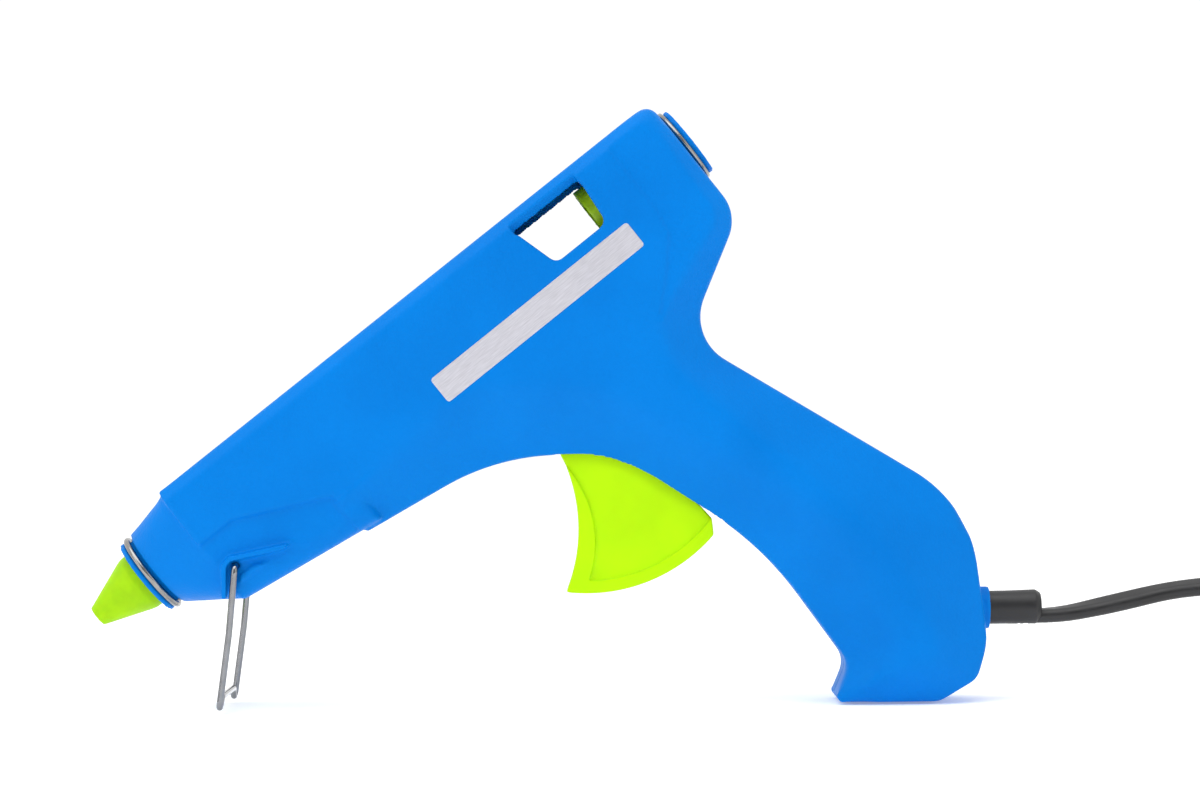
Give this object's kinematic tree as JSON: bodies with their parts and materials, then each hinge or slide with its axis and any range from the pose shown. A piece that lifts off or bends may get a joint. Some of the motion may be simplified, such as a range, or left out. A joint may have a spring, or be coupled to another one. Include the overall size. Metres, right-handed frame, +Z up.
{
  "type": "glue gun",
  "caption": "Corded hot-melt glue gun: two-shell pistol housing, trigger-driven stick feed, heated barrel, capped nozzle and folding wire stand.",
  "frame": {"origin": "middle of the flat handle base, on the surface that the gun stands on", "axes": "+Z up, -X towards the nozzle, Y across the housing with the parting plane at Y = 0; the gun stands on the handle base and on the wire stand"},
  "size_m": [0.4366, 0.0444, 0.1327],
  "materials": {
    "housing_plastic": "fine spark-eroded grain",
    "trigger_plastic": "satin moulded",
    "guide_plastic": "satin moulded",
    "cover_silicone": "soft satin silicone",
    "sleeve_silicone": "matte silicone",
    "ring_steel": "nickel plated wire",
    "stand_chrome": "bright chrome",
    "label_metal": "satin silver, blank",
    "screw_steel": "zinc plated",
    "pin_steel": "ground",
    "spring_steel": "drawn wire",
    "nozzle_brass": "turned",
    "chamber_aluminium": "die cast",
    "ceramic": "fired ceramic",
    "electrode": "rolled",
    "film": "amber polyimide",
    "lead_insulation": "white silicone",
    "black_pvc": "satin PVC",
    "clamp_plastic": "moulded",
    "plug_nickel": "nickel plated brass"
  },
  "bodies": {
    "housing": {"left_shell": "housing_plastic", "right_shell": "housing_plastic", "inlet_guide": "guide_plastic", "nozzle_cover": "cover_silicone", "inlet_sleeve": "sleeve_silicone", "front_ring": "ring_steel", "rear_ring": "ring_steel", "sleeve_clamp": "ring_steel", "left_label": "label_metal", "right_label": "label_metal", "housing_screws": "screw_steel", "clamp_screws": "screw_steel", "trigger_pin": "pin_steel", "trigger_spring": "spring_steel", "heater_clip": "spring_steel", "nozzle": "nozzle_brass", "melt_chamber": "chamber_aluminium", "ptc_heater": "ceramic", "heater_electrodes": "electrode", "heater_film": "film", "lead_wires": "lead_insulation", "strain_relief": "black_pvc", "cord": "black_pvc", "cord_hank": "black_pvc", "cord_tail": "black_pvc", "plug_body": "black_pvc", "cord_clamp": "clamp_plastic", "plug_pins": "plug_nickel"},
    "trigger": {"trigger": "trigger_plastic"},
    "carriage": {"feed_carriage": "guide_plastic", "grip_plate": "pin_steel", "drive_pin": "pin_steel"},
    "stand": {"wire_stand": "stand_chrome"}
  },
  "joints": [
    {"name": "trigger_hinge", "type": "hinge", "parent": "housing", "child": "trigger", "pos_m": [-0.0666, 0, 0.0621], "axis": [0, -1, 0], "range_deg": [0, 24], "stiffness_Nm_per_rad": 0.3, "springref_deg": -17.19},
    {"name": "carriage_slide", "type": "slide", "parent": "housing", "child": "carriage", "axis": [-0.7869, 0, -0.617], "range_m": [0, 0.00999]},
    {"name": "stand_hinge", "type": "hinge", "parent": "housing", "child": "stand", "pos_m": [-0.1444, 0, 0.0323], "axis": [0, -1, 0], "range_deg": [0, 106]}
  ],
  "couplings": [
    {"joint": "carriage_slide", "follows": "trigger_hinge", "m_per_rad": 0.023835}
  ]
}
